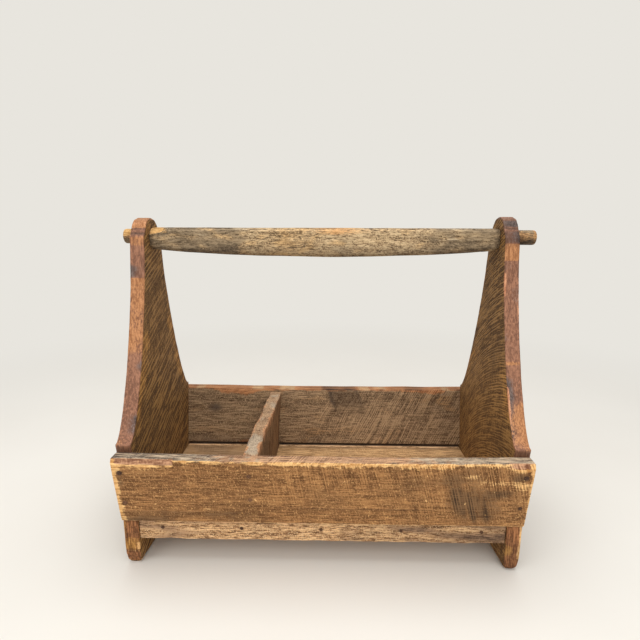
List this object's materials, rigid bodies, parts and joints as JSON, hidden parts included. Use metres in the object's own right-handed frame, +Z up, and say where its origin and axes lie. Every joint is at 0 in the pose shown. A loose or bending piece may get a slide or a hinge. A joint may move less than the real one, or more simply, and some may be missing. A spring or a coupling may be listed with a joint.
{
  "type": "tool storage caddy",
  "caption": "Open wooden tool caddy: sloping box of nailed boards between tall end boards with hollow-curved sides, a divider, and a hewn carrying bar that turns in the heads.",
  "frame": {"origin": "on the surface that the feet stand on, midway between the end boards and between the front and the back; the bar's right end stands out 14 mm more than its left, so the bounding box's middle lies 7 mm to the right", "axes": "+X along the box to the right, the divider being left of the middle; +Y from the front board to the back board; +Z up"},
  "size_m": [0.616, 0.2976, 0.496],
  "materials": {
    "end_board_wood": "rough sawn, dark with age, edges worn smooth and reddish",
    "side_board_wood": "rough sawn, golden brown, top edge weathered grey",
    "floor_wood": "rough sawn, mid brown",
    "batten_wood": "rough sawn, greyish tan",
    "divider_wood": "rough sawn, worn grey-tan along the top",
    "handle_wood": "hewn, silvered by weather and hands",
    "nail_iron": "rusty wire nail"
  },
  "bodies": {
    "caddy": {"left_end_board": "end_board_wood", "right_end_board": "end_board_wood", "front_board": "side_board_wood", "back_board": "side_board_wood", "floor_board": "floor_wood", "front_floor_batten": "batten_wood", "back_floor_batten": "batten_wood", "divider_board": "divider_wood", "front_left_nails": "nail_iron", "front_right_nails": "nail_iron", "front_divider_nails": "nail_iron", "back_left_nails": "nail_iron", "back_right_nails": "nail_iron", "back_divider_nails": "nail_iron", "front_batten_nails": "nail_iron", "back_batten_nails": "nail_iron", "left_floor_nails": "nail_iron", "right_floor_nails": "nail_iron"},
    "handle": {"handle_bar": "handle_wood"}
  },
  "joints": [
    {"name": "handle_turn", "type": "hinge", "parent": "caddy", "child": "handle", "pos_m": [0, 0, 0.466], "axis": [1, 0, 0], "continuous": true}
  ]
}
